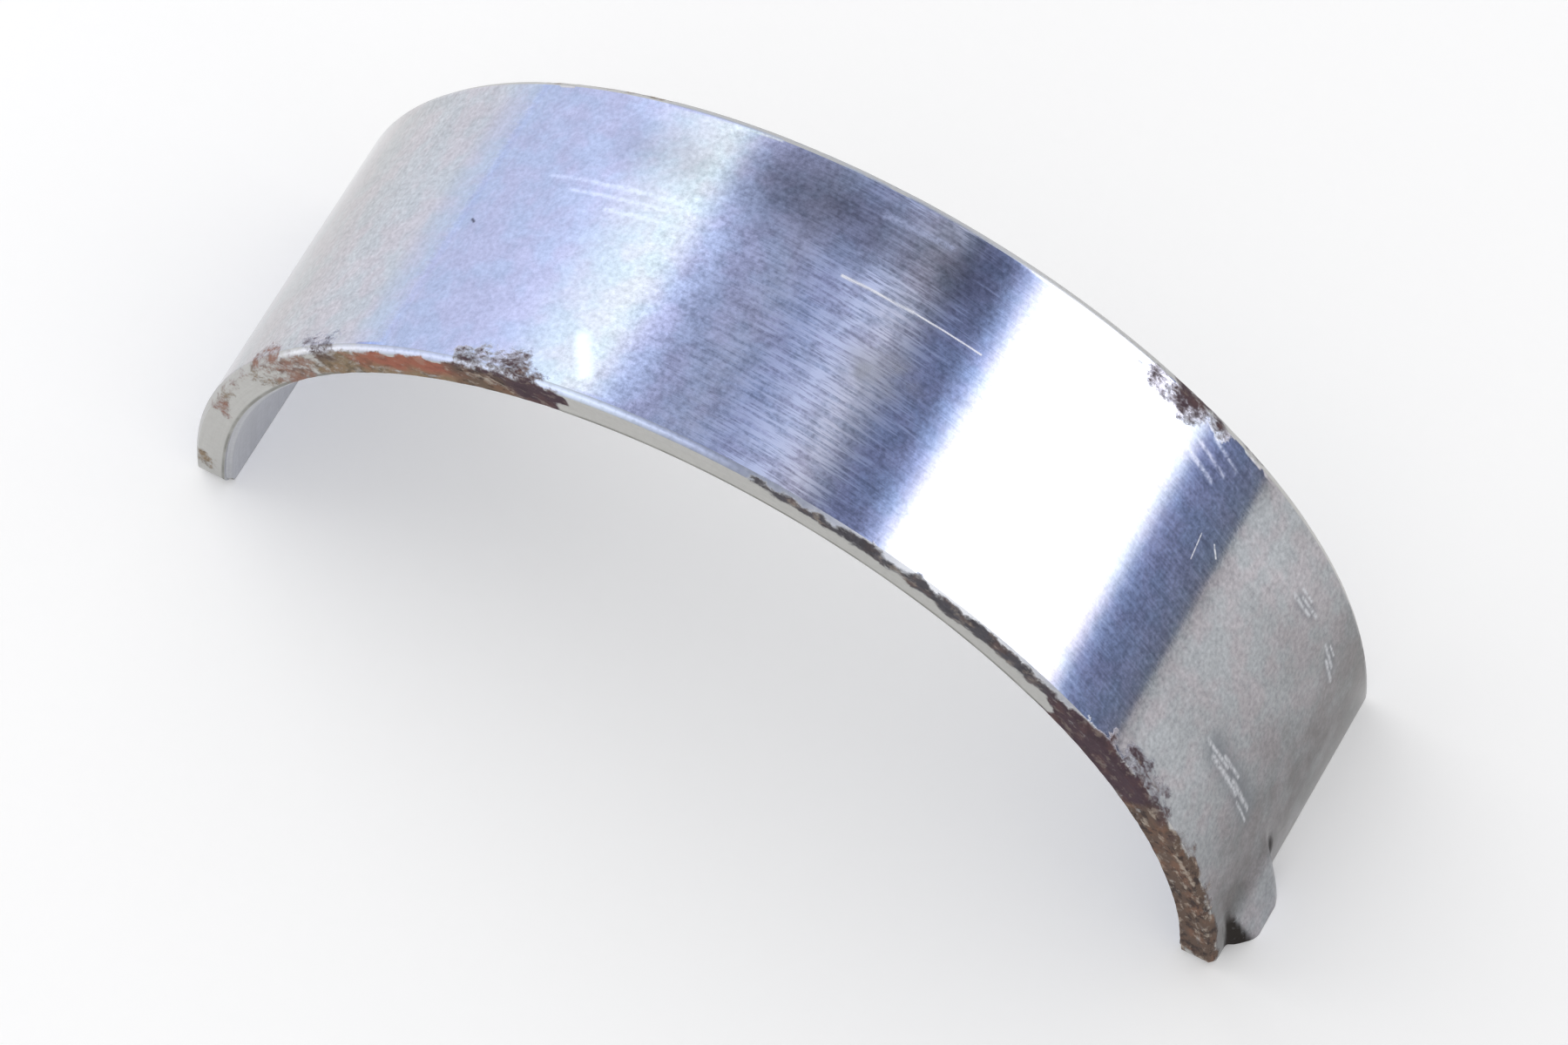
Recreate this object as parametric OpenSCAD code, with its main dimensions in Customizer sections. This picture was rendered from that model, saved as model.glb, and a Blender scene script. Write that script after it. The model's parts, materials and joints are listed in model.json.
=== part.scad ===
// Half shell of a thin-wall plain bearing for an engine crankshaft.
// It stands on its two parting faces, with its bore along Y and its crown at +Z.
// The origin lies on the bore's axis, in the parting plane, halfway along the shell.

/* [Shell] */
// Diameter over the back, which seats in the housing
back_diameter = 67; // [58:0.5:80]
// Thickness of the wall, steel back and lining together
wall = 2.4; // [2:0.1:3.2]
// Length of the shell along the shaft
shell_width = 19.8; // [16:0.2:30]

/* [Rims] */
// Chamfer along both rims of the back
back_chamfer = 0.35; // [0.1:0.05:0.6]
// Chamfer along both rims of the bore, measured along the shaft
bore_chamfer_width = 0.5; // [0.1:0.05:0.8]
// Chamfer along both rims of the bore, measured through the wall
bore_chamfer_depth = 0.4; // [0.1:0.05:0.8]
// Radius at the four corners of the parting faces, seen from the back
corner_radius = 1; // [0.2:0.1:1.5]
// Edge break where the parting faces meet the back
parting_break = 0.4; // [0.1:0.05:0.7]

/* [Bore relief] */
// Depth of the relief in the bore, at the parting faces
relief_depth = 0.03; // [0.02:0.01:0.1]
// Height that the relief runs up from the parting faces
relief_height = 8; // [5:0.5:12]

/* [Locating tang] */
// Distance from the nearer rim to the root of the tang
tang_inset = 1.7; // [1:0.1:5]
// Width of the tang at its root
tang_width = 5.2; // [5:0.1:8]
// Height of the tang above the back, at the parting face
tang_height = 1.3; // [0.8:0.1:1.7]
// Length of the tang's ramp, up from the parting face
tang_length = 5.2; // [3.5:0.1:8]
// Slope of the tang's flanks, measured from the back
tang_slope = 45; // [40:1:75]
// Radius that rounds the tang's crest into its flanks
tang_crest_radius = 0.9; // [0.2:0.1:1]
// Radius of the blend between the tang's flanks and the back
tang_blend_radius = 0.7; // [0.2:0.1:1]

/* [Hollow behind the tang] */
// Width of the hollow that the punch leaves in the bore
hollow_width = 4.2; // [3.5:0.1:6]
// Depth of the hollow at the parting face
hollow_depth = 1.1; // [0.6:0.1:1.4]
// Length of the hollow, up from the parting face
hollow_length = 4.6; // [3:0.1:7]
// Slope of the hollow's sides, measured from the bore
hollow_slope = 65; // [50:1:80]
// Radius along the foot of the hollow's sides
hollow_crest_radius = 0.4; // [0.2:0.1:0.8]

/* [Hidden] */
$fn = 180;

back_radius = back_diameter / 2;
bore_radius = back_radius - wall;
half_width = shell_width / 2;
tang_middle = tang_inset + tang_width / 2 - half_width;
// Overlap that carries a cut past the face it opens through
cut_margin = 1;
// The relief is bored about an axis this far below the parting plane
relief_drop = (2 * bore_radius * relief_depth + relief_depth * relief_depth) / (2 * relief_height);
relief_radius = norm([bore_radius + relief_depth, relief_drop]);

// Section of the wall, with radius along X and the shaft's direction along Y
module wall_section() {
    polygon([
        [bore_radius + bore_chamfer_depth, -half_width],
        [back_radius - back_chamfer, -half_width],
        [back_radius, -half_width + back_chamfer],
        [back_radius, half_width - back_chamfer],
        [back_radius - back_chamfer, half_width],
        [bore_radius + bore_chamfer_depth, half_width],
        [bore_radius, half_width - bore_chamfer_width],
        [bore_radius, -half_width + bore_chamfer_width]
    ]);
}

module half_ring() {
    rotate([90, 0, 0])
        rotate_extrude(angle = 180)
            wall_section();
}

// Shallow bore on a lower axis, which opens the bore towards both parting faces
module bore_relief() {
    translate([0, 0, -relief_drop])
        rotate([90, 0, 0])
            cylinder(r = relief_radius, h = shell_width + 2 * cut_margin, center = true);
}

// Wedge that takes the sharp edge off the back at one parting face
module parting_edge_cut() {
    rotate([90, 0, 0])
        linear_extrude(height = shell_width + 2 * cut_margin, center = true)
            polygon([
                [back_radius - parting_break - cut_margin, -cut_margin],
                [back_radius + cut_margin, -cut_margin],
                [back_radius + cut_margin, parting_break + cut_margin]
            ]);
}

// Spandrel that rounds one corner of both parting faces
module corner_cut() {
    rotate([90, 0, 90])
        linear_extrude(height = back_diameter + 2 * cut_margin, center = true)
            difference() {
                translate([half_width - corner_radius, -cut_margin])
                    square([corner_radius + cut_margin, corner_radius + cut_margin]);
                translate([half_width - corner_radius, corner_radius])
                    circle(r = corner_radius);
            }
}

module trimmed_ring() {
    difference() {
        half_ring();
        bore_relief();
        for (side = [0, 1]) {
            mirror([side, 0, 0])
                parting_edge_cut();
            mirror([0, side, 0])
                corner_cut();
        }
    }
}

// Outline of a pressed form, seen along its ramp: it stands out along X from the surface at X = 0
module pressed_outline(width, height, slope, crest_radius, blend_radius, depth) {
    root = width / 2;
    corner = root - height / tan(slope);
    crest_reach = crest_radius * tan(slope / 2);
    blend_reach = blend_radius * tan(slope / 2);
    crest_edge = corner - crest_reach;
    flank_top = [height - crest_reach * sin(slope), corner + crest_reach * cos(slope)];
    flank_foot = [blend_reach * sin(slope), root - blend_reach * cos(slope)];
    polygon([
        [-depth, -root],
        [0, -root],
        [flank_top[0], -flank_top[1]],
        [height, -crest_edge],
        [height, crest_edge],
        flank_top,
        [0, root],
        [-depth, root]
    ]);
    for (side = [0, 1])
        mirror([0, side]) {
            translate([height - crest_radius, crest_edge])
                circle(r = crest_radius);
            difference() {
                polygon([[0, root - blend_reach], [-depth, root], [0, root + blend_reach], flank_foot]);
                translate([blend_radius, root + blend_reach])
                    circle(r = blend_radius);
            }
        }
}

// Side view of a pressed form: its height falls to nothing at the end of its ramp
module ramp_outline(height, length, depth) {
    run_out = height * cut_margin / length;
    polygon([
        [-depth, -cut_margin],
        [height + run_out, -cut_margin],
        [0, length],
        [-depth, length]
    ]);
}

// Form pressed out of a round surface, ramped down along the chord that its length spans
module pressed_form(surface_radius, width, height, length, slope, crest_radius, blend_radius, depth) {
    lean = asin(length / surface_radius) / 2;
    reach = length / cos(lean);
    translate([surface_radius, tang_middle, 0])
        rotate([0, -lean, 0])
            intersection() {
                translate([0, 0, -cut_margin])
                    linear_extrude(height = reach + cut_margin)
                        pressed_outline(width, height, slope, crest_radius, blend_radius, depth);
                rotate([90, 0, 0])
                    linear_extrude(height = 2 * width, center = true)
                        ramp_outline(height, reach, depth);
            }
}

// Lug that drops into the notch of the housing, ending level with the parting face
module locating_tang() {
    intersection() {
        pressed_form(back_radius, tang_width, tang_height, tang_length, tang_slope,
            tang_crest_radius, tang_blend_radius, wall / 2);
        translate([0, -half_width, 0])
            cube([back_radius + tang_height + cut_margin, shell_width, tang_length + cut_margin]);
    }
}

module punch_hollow() {
    pressed_form(bore_radius, hollow_width, hollow_depth, hollow_length, hollow_slope,
        hollow_crest_radius, hollow_crest_radius, wall);
}

module bearing_shell() {
    color([0.74, 0.75, 0.78])
        difference() {
            union() {
                trimmed_ring();
                locating_tang();
            }
            punch_hollow();
        }
}

bearing_shell();
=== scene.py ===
import bpy
import json
import math
import numpy as np
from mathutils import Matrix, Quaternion, Vector, noise


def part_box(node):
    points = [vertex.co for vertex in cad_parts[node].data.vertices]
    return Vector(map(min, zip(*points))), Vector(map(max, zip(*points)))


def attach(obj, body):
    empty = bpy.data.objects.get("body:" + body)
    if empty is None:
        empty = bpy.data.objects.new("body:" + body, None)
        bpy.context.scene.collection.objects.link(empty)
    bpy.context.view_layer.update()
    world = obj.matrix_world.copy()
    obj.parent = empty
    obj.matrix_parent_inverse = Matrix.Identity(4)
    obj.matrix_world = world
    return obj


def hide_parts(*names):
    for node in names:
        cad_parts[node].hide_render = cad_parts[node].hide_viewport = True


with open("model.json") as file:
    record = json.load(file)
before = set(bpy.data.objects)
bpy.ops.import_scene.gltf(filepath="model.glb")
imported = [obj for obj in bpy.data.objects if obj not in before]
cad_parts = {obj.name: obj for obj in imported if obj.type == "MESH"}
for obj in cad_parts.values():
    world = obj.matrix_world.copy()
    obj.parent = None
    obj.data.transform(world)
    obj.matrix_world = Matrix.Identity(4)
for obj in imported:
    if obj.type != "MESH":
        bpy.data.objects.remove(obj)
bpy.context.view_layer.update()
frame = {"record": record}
mm = 0.001
tiny = 1e-6                             # keeps divisions finite
mounts = {mount["name"]: mount for mount in frame["record"]["mounts"]}
shellLow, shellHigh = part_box("bearing_shell")
backRadius = shellHigh.z
boreRadius = mounts["journal_bore"]["dims"]["r_mm"] * mm
middleRadius = (backRadius + boreRadius) / 2
wallThickness = backRadius - boreRadius
shellWidth = shellHigh.y - shellLow.y
halfWidth = shellHigh.y
tangMiddle = mounts["locating_tang"]["pos_m"][1]
print("frame loaded, back radius", round(backRadius / mm, 2), "mm")


def deselectAll():
    if bpy.context.object and bpy.context.object.mode != "OBJECT":
        bpy.ops.object.mode_set(mode="OBJECT")
    bpy.ops.object.select_all(action="DESELECT")


# Small helpers for building node trees
def addNode(tree, kind, **settings):
    made = tree.nodes.new(kind)
    for name, value in settings.items():
        setattr(made, name, value)
    return made


def feed(tree, socket, value):
    if isinstance(value, bpy.types.NodeSocket):
        tree.links.new(value, socket)
    else:
        socket.default_value = value


def doMath(tree, operation, *values, clamp=False):
    made = addNode(tree, "ShaderNodeMath", operation=operation, use_clamp=clamp)
    for socket, value in zip(made.inputs, values):
        feed(tree, socket, value)
    return made.outputs[0]


def plus(tree, first, second, clamp=False):
    return doMath(tree, "ADD", first, second, clamp=clamp)


def minus(tree, first, second):
    return doMath(tree, "SUBTRACT", first, second)


def times(tree, first, second, clamp=False):
    return doMath(tree, "MULTIPLY", first, second, clamp=clamp)


def larger(tree, first, second):
    return doMath(tree, "MAXIMUM", first, second)


def doVector(tree, operation, *values):
    made = addNode(tree, "ShaderNodeVectorMath", operation=operation)
    for socket, value in zip(made.inputs, values):
        feed(tree, socket, value)
    return made.outputs["Value" if operation in ("LENGTH", "DOT_PRODUCT") else "Vector"]


def splitVector(tree, vector):
    made = addNode(tree, "ShaderNodeSeparateXYZ")
    feed(tree, made.inputs[0], vector)
    return made.outputs


def joinVector(tree, *parts):
    made = addNode(tree, "ShaderNodeCombineXYZ")
    for socket, part in zip(made.inputs, parts):
        feed(tree, socket, part)
    return made.outputs[0]


def remap(tree, value, fromLow, fromHigh, toLow=0.0, toHigh=1.0):
    made = addNode(tree, "ShaderNodeMapRange", interpolation_type="SMOOTHSTEP")
    for name, item in (("Value", value), ("From Min", fromLow), ("From Max", fromHigh),
                       ("To Min", toLow), ("To Max", toHigh)):
        feed(tree, made.inputs[name], item)
    return made.outputs["Result"]


def mixColour(tree, factor, first, second, blend="MIX"):
    made = addNode(tree, "ShaderNodeMix", data_type="RGBA", blend_type=blend)
    for index, item in ((0, factor), (6, first), (7, second)):
        feed(tree, made.inputs[index], item)
    return made.outputs[2]


def mixValue(tree, factor, first, second):
    made = addNode(tree, "ShaderNodeMix", data_type="FLOAT")
    for index, item in ((0, factor), (2, first), (3, second)):
        feed(tree, made.inputs[index], item)
    return made.outputs[0]


def rampAt(tree, value, stops):
    # colours at stops from 0 to 1 along a value
    made = addNode(tree, "ShaderNodeValToRGB")
    feed(tree, made.inputs[0], value)
    while len(made.color_ramp.elements) < len(stops):
        made.color_ramp.elements.new(0.5)
    for element, (place, colour) in zip(made.color_ramp.elements, stops):
        element.position = place
        element.color = colour
    return made.outputs["Color"]


def noiseAt(tree, vector, scale, detail, roughness=0.5, distortion=0.0):
    made = addNode(tree, "ShaderNodeTexNoise")
    for name, item in (("Vector", vector), ("Scale", scale), ("Detail", detail),
                       ("Roughness", roughness), ("Distortion", distortion)):
        feed(tree, made.inputs[name], item)
    return made.outputs["Fac"]


def swing(tree, value, gain):
    # how far a noise lies from its middle, times a gain
    return times(tree, minus(tree, value, 0.5), gain)


def shadeBetween(tree, look, tint):
    # from a look's dark colour to its light one, halfway where the tint is 0
    return mixColour(tree, plus(tree, tint, 0.5, clamp=True), look["dark"], look["light"])


def bumpFrom(tree, height, strength, distance, normal=None):
    made = addNode(tree, "ShaderNodeBump")
    for name, item in (("Strength", strength), ("Distance", distance), ("Height", height)):
        feed(tree, made.inputs[name], item)
    if normal is not None:
        feed(tree, made.inputs["Normal"], normal)
    return made.outputs["Normal"]


def newGroup(name, inputs, outputs):
    tree = bpy.data.node_groups.new(name, "ShaderNodeTree")
    for label, kind in inputs:
        tree.interface.new_socket(name=label, in_out="INPUT", socket_type="NodeSocket" + kind)
    for label, kind in outputs:
        tree.interface.new_socket(name=label, in_out="OUTPUT", socket_type="NodeSocket" + kind)
    return tree, tree.nodes.new("NodeGroupInput").outputs, tree.nodes.new("NodeGroupOutput").inputs


def placeGroup(tree, group, **values):
    made = addNode(tree, "ShaderNodeGroup", node_tree=group)
    for name, item in values.items():
        feed(tree, made.inputs[name], item)
    return made.outputs


# Camera, at the photograph's viewing angle
view = {
    "target": Vector((2.03, -3.12, 14.94)) * mm,
    "distance": 476.5 * mm,
    "azimuth": 27.97,
    "elevation": 62.88,
    "roll": 0.56,
    "lens": 193.9,
    "sensor": 36,
    "clipStart": 0.02,
}


def makeCamera():
    turn = math.radians(view["azimuth"])
    rise = math.radians(view["elevation"])
    away = Vector((math.sin(turn) * math.cos(rise), -math.cos(turn) * math.cos(rise), math.sin(rise)))
    deselectAll()
    bpy.ops.object.camera_add(location=view["target"] + away * view["distance"])
    camera = bpy.context.object
    camera.name = "photoCamera"
    camera.data.sensor_width = view["sensor"]
    camera.data.lens = view["lens"]
    camera.data.clip_start = view["clipStart"]
    camera.rotation_mode = "QUATERNION"
    roll = Quaternion((0, 0, 1), math.radians(view["roll"]))
    camera.rotation_quaternion = (-away).to_track_quat("-Z", "Y") @ roll
    bpy.context.scene.camera = camera


makeCamera()
bpy.context.scene.view_settings.view_transform = "Standard"
print("camera placed")

# The shell's blank: the wall's section, trimmed at its corners and spun round the shaft's axis
shell = {
    "columns": 96,                                  # across the shell, along the shaft
    "wallRows": 8,                                  # through the wall
    "sweeps": ((12, 40), (156, 230), (12, 30)),     # degrees and steps, from the tang's end
    "backChamfer": 0.35 * mm,
    "boreChamferDeep": 0.4 * mm,                    # through the wall
    "boreChamferWide": 0.5 * mm,                    # along the shaft
    "edgeEase": 0.025 * mm,                         # how far the chamfers' own edges are eased
    "cornerRadius": 1.0 * mm,
    "partingBreak": 0.4 * mm,
    "reliefDepth": 0.03 * mm,
    "reliefHeight": 8 * mm,
    "weld": 0.001 * mm,
    "smoothAngle": 35,
}


def trimCorner(rim, side, radius, deep, wide):
    # three cuts: the chamfer, then an easing cut on each of its two edges
    faceEnd = Vector((radius - side * deep, rim * halfWidth, 0))
    roundEnd = Vector((radius, rim * (halfWidth - wide), 0))
    slant = Vector((side * wide, rim * deep, 0)).normalized()
    faceEase = (slant + Vector((0, rim, 0))).normalized()
    roundEase = (slant + Vector((side, 0, 0))).normalized()
    ease = shell["edgeEase"]
    for point, outward in ((faceEnd, slant), (faceEnd - faceEase * ease, faceEase),
                           (roundEnd - roundEase * ease, roundEase)):
        bpy.ops.mesh.select_all(action="SELECT")
        bpy.ops.mesh.bisect(plane_co=point, plane_no=outward, clear_outer=True)


def spinBlank():
    deselectAll()
    bpy.ops.mesh.primitive_grid_add(x_subdivisions=shell["wallRows"], y_subdivisions=shell["columns"],
                                    size=1, location=(middleRadius, 0, 0))
    piece = bpy.context.object
    piece.name = piece.data.name = "half_shell"
    piece.scale = (wallThickness, shellWidth, 1)
    bpy.ops.object.transform_apply(location=True, rotation=True, scale=True)
    bpy.ops.object.mode_set(mode="EDIT")
    for rim in (-1, 1):
        trimCorner(rim, 1, backRadius, shell["backChamfer"], shell["backChamfer"])
        trimCorner(rim, -1, boreRadius, shell["boreChamferDeep"], shell["boreChamferWide"])
    bpy.ops.mesh.select_all(action="SELECT")
    for degrees, steps in shell["sweeps"]:
        bpy.ops.mesh.spin(steps=steps, angle=math.radians(degrees), center=(0, 0, 0), axis=(0, 1, 0))
    bpy.ops.mesh.select_all(action="SELECT")
    bpy.ops.mesh.remove_doubles(threshold=shell["weld"])
    bpy.ops.mesh.normals_make_consistent(inside=False)
    bpy.ops.object.mode_set(mode="OBJECT")
    return piece


halfShell = spinBlank()
print("blank spun,", len(halfShell.data.polygons), "faces")

# The tang, pressed out of the wall at one end, and the punch's hollow behind it
tang = {
    "width": 5.2 * mm,
    "height": 1.3 * mm,
    "length": 5.2 * mm,
    "slope": 45,
    "crestBlend": 0.36 * mm,
    "footBlend": 0.28 * mm,
    "bulge": 0.22 * mm,                 # how far its far flank stands out
}
hollow = {
    "width": 4.2 * mm,
    "height": 1.1 * mm,
    "length": 4.6 * mm,
    "slope": 65,
    "crestBlend": 0.3 * mm,
    "footBlend": 0.2 * mm,
    "bulge": 0,
}


def softMin(first, second, reach):
    overlap = np.maximum(reach - np.abs(first - second), 0) / reach
    return np.minimum(first, second) - overlap * overlap * reach / 4


def pressedHeight(form, radius, across, height):
    # a ramp along the chord, held between two sloping flanks
    root = np.abs(across - tangMiddle)
    flank = (form["width"] / 2 - root) * math.tan(math.radians(form["slope"]))
    swell = np.sin(np.pi * np.clip(flank / form["height"], 0, 1))
    flank += form["bulge"] * swell * (across > tangMiddle)
    chordEnd = math.sqrt(radius ** 2 - form["length"] ** 2)
    crestEnd = radius + form["height"]
    crestLine = crestEnd + (chordEnd - crestEnd) * height / form["length"]
    ramp = crestLine - np.sqrt(np.maximum(radius ** 2 - height ** 2, 0))
    lifted = softMin(flank, ramp, form["crestBlend"])
    return -softMin(-lifted, np.zeros_like(lifted), form["footBlend"])


def readPoints(piece):
    points = np.empty(len(piece.data.vertices) * 3)
    piece.data.vertices.foreach_get("co", points)
    return points.reshape(-1, 3)


def writePoints(piece, points):
    piece.data.vertices.foreach_set("co", points.ravel())
    piece.data.update()


def shapeEnds(piece):
    points = readPoints(piece)
    x, y, z = points.T
    z = np.maximum(z, 0)
    radius = np.hypot(x, z)
    depth = np.clip((radius - boreRadius) / wallThickness, 0, 1)
    tangSide = (x > 0) & (z < 2 * tang["length"])
    raised = np.where(tangSide, pressedHeight(tang, backRadius, y, z), 0)
    sunk = np.where(tangSide, pressedHeight(hollow, boreRadius, y, z), 0)
    # the edge break narrows the wall at the parting faces, and the relief opens the bore there
    plain = np.clip(1 - raised / shell["partingBreak"], 0, 1)
    radius -= np.maximum(shell["partingBreak"] - z, 0) * plain * depth
    radius += shell["reliefDepth"] * np.clip(1 - z / shell["reliefHeight"], 0, 1) * (1 - depth)
    # round the corners of the parting faces: a square patch drawn in to a quarter disc
    reach = shell["cornerRadius"]
    out = np.clip((np.abs(y) - (halfWidth - reach)) / reach, 0, 1)
    down = np.clip((reach - z) / reach, 0, 1)
    inCorner = (out > 0) & (down > 0)
    roundOut = out * np.sqrt(1 - down * down / 2)
    roundDown = down * np.sqrt(1 - out * out / 2)
    y = np.where(inCorner, np.sign(y) * (halfWidth - reach + reach * roundOut), y)
    z = np.where(inCorner, reach - reach * roundDown, z)
    x = np.sign(x) * np.sqrt(np.maximum(radius ** 2 - z ** 2, 0))
    # press the tang out of the end on the +X side
    x = x + depth * raised + (1 - depth) * sunk
    writePoints(piece, np.stack([x, y, z], axis=1))


shapeEnds(halfShell)
print("ends and tang shaped")

# Rust and dirt along the rims. Each colour comes with how mottled it is.
grime = {
    "slate": ((0.085, 0.08, 0.09), 0.5),
    "purple": ((0.075, 0.045, 0.055), 0.35),
    "brown": ((0.13, 0.088, 0.066), 1.0),
    "olive": ((0.27, 0.20, 0.125), 0.6),
    "orange": ((0.36, 0.13, 0.085), 0.35),
    "rose": ((0.30, 0.17, 0.135), 0.5),
}
# Degrees round from the tang's end, then how far down the rim's face it begins and ends in mm
# (negative lies on the back), its amount and its colour
nearRimRust = (
    (132, 150, 0.0, 1.9, 0.62, "olive"),
    (128, 138, 0.1, 2.3, 0.9, "olive"),
    (116, 131, 0.25, 1.6, 1.3, "orange"),
    (112, 133, 1.5, 2.4, 0.95, "olive"),
    (109, 118, 0.2, 2.4, 1.0, "brown"),
    (104.5, 111, 0.1, 2.4, 1.15, "purple"),
    (62, 84, -0.12, 0.8, 0.95, "slate"),
    (46, 66, -0.15, 0.95, 1.15, "slate"),
    (29, 47, -0.5, 2.4, 1.1, "purple"),
    (0, 31, -0.52, 2.4, 1.05, "brown"),
)
farRimRust = (
    (150, 172, 0.1, 1.6, 0.6, "brown"),
    (112, 130, 0.0, 2.4, 0.7, "olive"),
    (84, 98, 0.2, 1.3, 0.5, "slate"),
    (48, 55.5, -0.7, 2.4, 0.9, "purple"),
    (39, 47.5, -0.3, 2.0, 0.6, "purple"),
    (4, 30, 0.2, 2.4, 0.7, "brown"),
)
# Spots: degrees, how far down the face in mm, size in mm, amount and colour
nearRimSpots = (
    (175.8, 0.8, 1.0, 0.66, "olive"),
    (161, 0.7, 1.2, 0.72, "rose"),
    (157.5, 0.4, 1.1, 0.62, "olive"),
    (154.5, 0.2, 1.0, 0.62, "rose"),
    (150, 0.4, 1.1, 0.62, "olive"),
    (146, -0.2, 1.7, 0.74, "rose"),
    (143, 1.3, 1.8, 0.82, "rose"),
    (136, -0.3, 1.6, 0.66, "purple"),
    (114, -0.7, 1.5, 0.6, "purple"),
    (110.5, -0.6, 1.6, 0.66, "purple"),
    (107, -0.2, 1.1, 0.72, "purple"),
    (36.5, -0.6, 1.5, 0.7, "purple"),
    (33, -0.7, 1.7, 0.7, "purple"),
    (28, -0.5, 1.1, 0.66, "purple"),
    (22, -0.6, 0.8, 0.62, "brown"),
    (14, -0.6, 0.8, 0.62, "brown"),
)
farRimSpots = (
    (54.5, -0.8, 1.4, 0.66, "purple"),
    (51, -0.9, 1.6, 0.72, "purple"),
    (48, -0.8, 1.2, 0.64, "purple"),
    (22, -0.3, 0.5, 0.6, "brown"),
)
crust = {
    "softEnds": 1.6,            # degrees
    "softSides": 0.45 * mm,
    "spotGain": 1.25,           # over 1, a spot is full some way out from its middle
    "spotStretch": 0.7,         # under 1, spots are longer round the rim than across it
    "hold": 0.35,               # how far a colour holds out against the next one over it
    "firstColour": "purple",
    "firstMottle": 0.5,
    "ragSize": 1.2 * mm,        # how coarse, and how deep at its ends and sides, its ragged outline is
    "ragEnds": 3.5,
    "ragSides": 0.45 * mm,
    "endShift": 11,             # places in the noise, so that ends and sides differ
    "sideShift": 47,
    "boreClear": 0.25 * mm,     # the bore stays clean up to here, but for its rims
    "boreRim": 0.45 * mm,
    "bite": 0.06 * mm,          # how deep rust has eaten into a rim, and where
    "biteGrain": 0.5 * mm,
    "biteReach": 0.6 * mm,
    "biteCore": 0.8 * mm,       # it eats towards a line this far in from the rim
    "biteLeast": 0.05,
}
# Painted highlight along the near rim's chamfer, laid as a burnished line where it has been rubbed
rubbedHighlightEdge = {
    "start": 84,                # degrees
    "end": 146,
    "fade": 6,
    "top": -0.4 * mm,           # down the rim, as for the rust
    "bottom": 0.15 * mm,
    "reach": 0.4 * mm,
}
# Soil and painted shade packed against the tang's near flank, and a dark spot at the root of its far one
tangSoilAndShade = {
    "low": -0.4,                # up the flank, as shares of its height there
    "high": 1.05,
    "fade": 0.3,
    "leastRamp": 0.05,
    "fullHeight": 3.06 * mm,    # up from the parting face, where it begins and ends to thin out
    "endHeight": 4.86 * mm,
    "spotAcross": 2.7 * mm,
    "spotHeight": 3.4 * mm,
    "spotWide": 0.5 * mm,
    "spotTall": 1.2 * mm,
    "spotReach": 1.3,
    "spotMost": 0.9,
}


def layGrime(layers, share, colourName):
    # the heavier layer wins, and colours blend by their share
    amount, colour, mottle = layers
    tone, mottled = grime[colourName]
    weight = np.clip(share / np.maximum(share + amount * crust["hold"], tiny), 0, 1)
    colour += (np.array(tone) - colour) * weight[:, None]
    mottle += (mottled - mottle) * weight
    np.maximum(amount, share, out=amount)


def rustRim(layers, zones, spots, degrees, down, nearby):
    for start, end, top, bottom, zoneAmount, name in zones:
        along = np.clip(np.minimum(degrees - start, end - degrees) / crust["softEnds"] + 0.5, 0, 1)
        across = np.clip(np.minimum(down - top * mm, bottom * mm - down) / crust["softSides"] + 0.5, 0, 1)
        layGrime(layers, along * across * zoneAmount * nearby, name)
    for place, depth, size, spotAmount, name in spots:
        arc = np.radians(degrees - place) * backRadius
        away = np.hypot(arc * crust["spotStretch"], down - depth * mm) / (size * mm)
        spread = np.clip(crust["spotGain"] * (1 - away * away), 0, 1)
        layGrime(layers, spread * spotAmount * nearby, name)


def noiseOver(points, size, shift):
    return np.array([noise.noise(Vector(point) / size + Vector((shift, 0, 0))) for point in points])


def soilAndShadeAtTang(points):
    x, y, z = points.T
    foot = tangMiddle - tang["width"] / 2
    ramp = tang["height"] * np.clip(1 - z / tang["length"], tangSoilAndShade["leastRamp"], 1)
    upFlank = (y - foot) / ramp
    flank = np.minimum(upFlank - tangSoilAndShade["low"], tangSoilAndShade["high"] - upFlank) / tangSoilAndShade["fade"]
    thinning = (tangSoilAndShade["endHeight"] - z) / (tangSoilAndShade["endHeight"] - tangSoilAndShade["fullHeight"])
    packed = np.clip(flank, 0, 1) * np.clip(thinning, 0, 1)
    fromSpot = np.hypot((y - tangMiddle - tangSoilAndShade["spotAcross"]) / tangSoilAndShade["spotWide"],
                        (z - tangSoilAndShade["spotHeight"]) / tangSoilAndShade["spotTall"])
    spot = np.clip(tangSoilAndShade["spotReach"] - fromSpot, 0, tangSoilAndShade["spotMost"])
    return np.maximum(packed, spot) * ((x > 0) & (np.hypot(x, z) > middleRadius))


def biteRims(points, amount):
    # the crust has eaten a little into the rims
    radius = np.hypot(points[:, 0], points[:, 2])
    fromRim = halfWidth - np.abs(points[:, 1])
    core = np.sign(points[:, 1]) * (halfWidth - crust["biteCore"])
    for index in np.nonzero((amount > crust["biteLeast"]) & (fromRim < crust["biteReach"]))[0]:
        x, y, z = points[index]
        bite = noise.noise(Vector((x, y, z)) / crust["biteGrain"]) * 0.5 + 0.5
        bite *= crust["bite"] * min(amount[index], 1)
        toMiddle = middleRadius / radius[index] - 1
        inward = np.array([toMiddle * x, core[index] - y, toMiddle * z])
        points[index] += inward / max(np.linalg.norm(inward), tiny) * bite
    points[:, 2] = np.maximum(points[:, 2], 0)


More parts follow.
